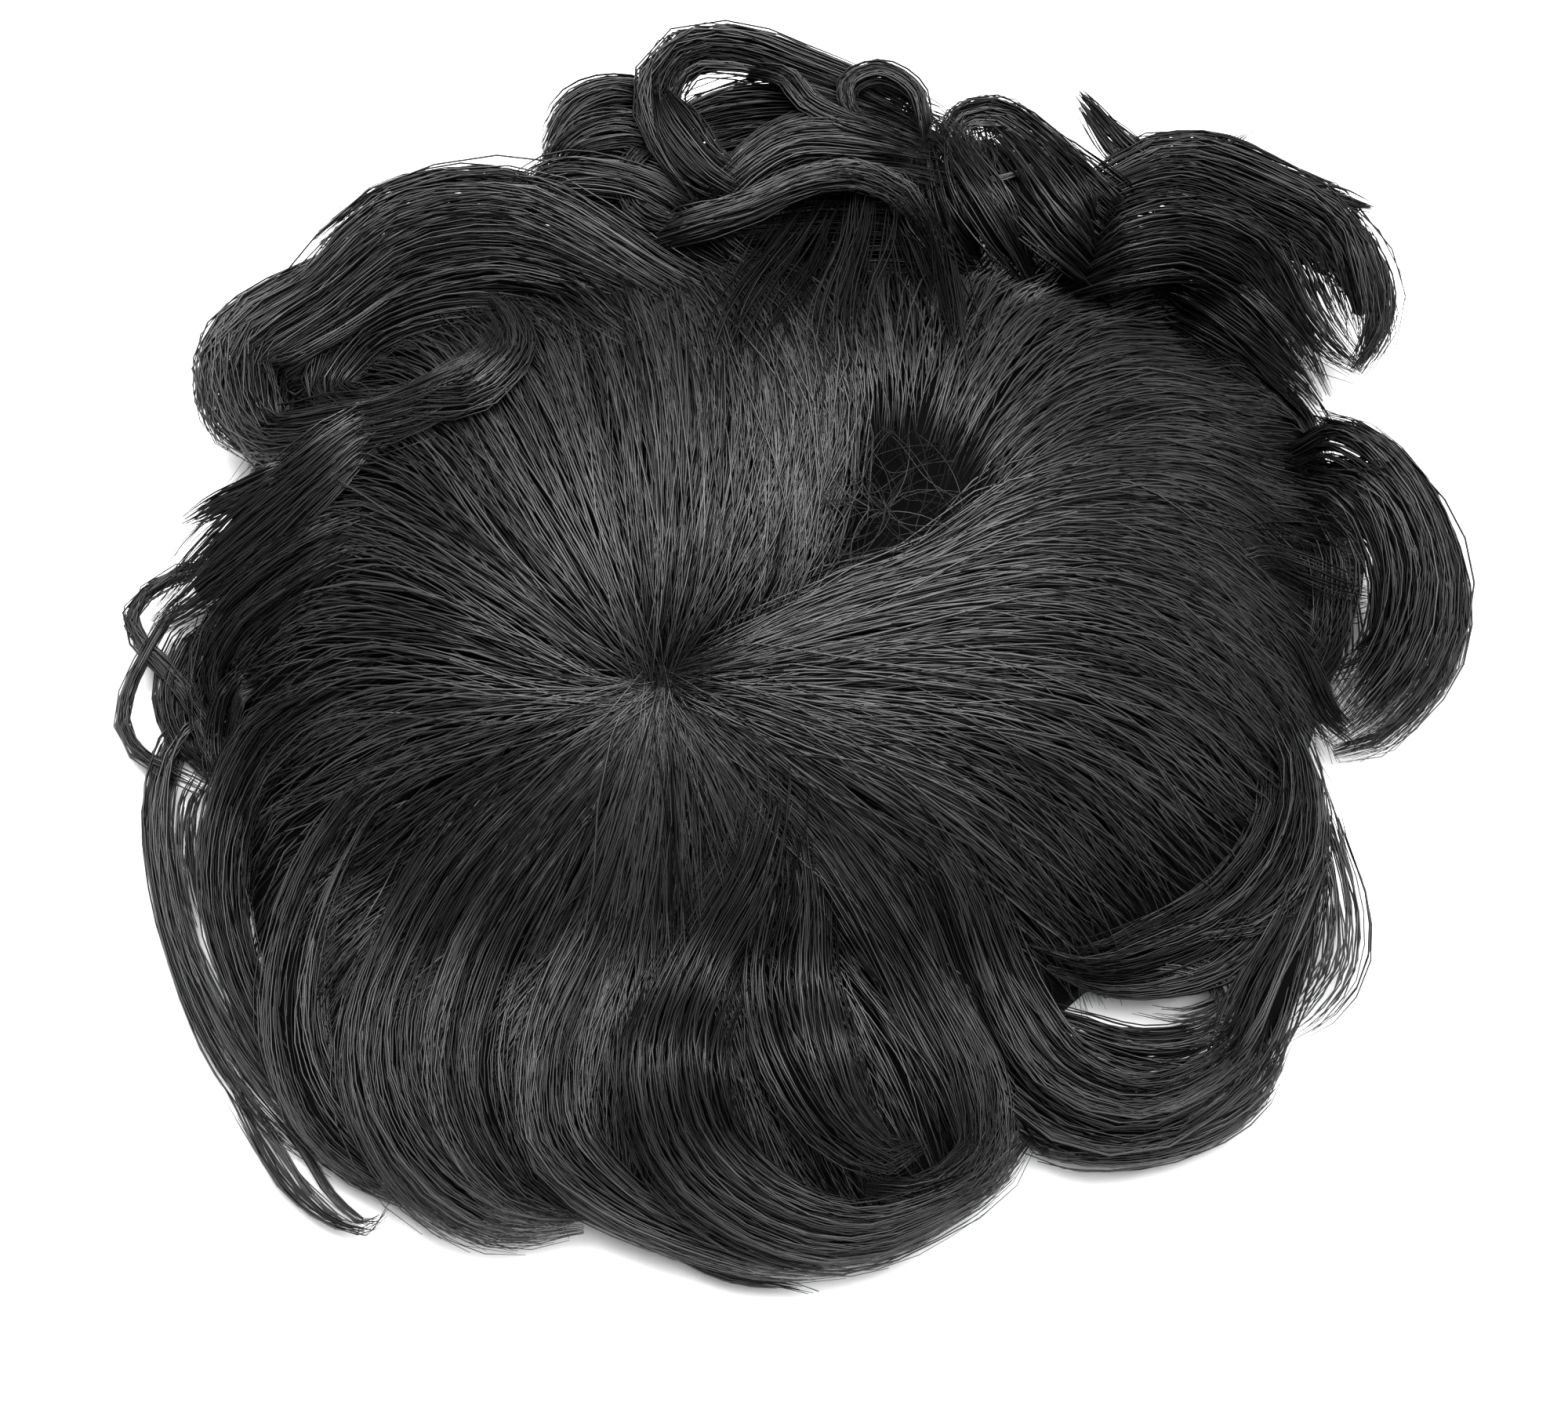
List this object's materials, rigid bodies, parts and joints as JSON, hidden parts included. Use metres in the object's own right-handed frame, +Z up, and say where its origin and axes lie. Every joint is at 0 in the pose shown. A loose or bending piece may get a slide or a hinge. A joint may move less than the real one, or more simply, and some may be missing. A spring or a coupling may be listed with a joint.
{
  "type": "lace front hair patch",
  "caption": "Short wavy false hair tied on a domed lace base, lying hair side up, with a whorl on top and curled ends round its edge; worn on the head over thin hair.",
  "frame": {"origin": "middle of the whole patch's box, on the surface that it lies on", "axes": "+Z up out of the hair, +X to the right and +Y away from the picture's viewer"},
  "size_m": [0.2578, 0.2399, 0.0623],
  "materials": {
    "hair": "satin black hair",
    "lace": "matt fine net"
  },
  "bodies": {
    "root": {"lace_base": "lace", "crown_hair": "hair", "back_left_curl": "hair", "left_lock": "hair", "left_loop": "hair", "left_hang": "hair", "front_left_curl": "hair", "front_curl": "hair", "front_low_lock": "hair", "front_right_curl": "hair", "right_wisp": "hair", "right_curl": "hair", "back_right_curl": "hair", "back_right_lock": "hair", "back_curl": "hair", "back_arch": "hair", "back_left_loop": "hair"}
  },
  "joints": []
}
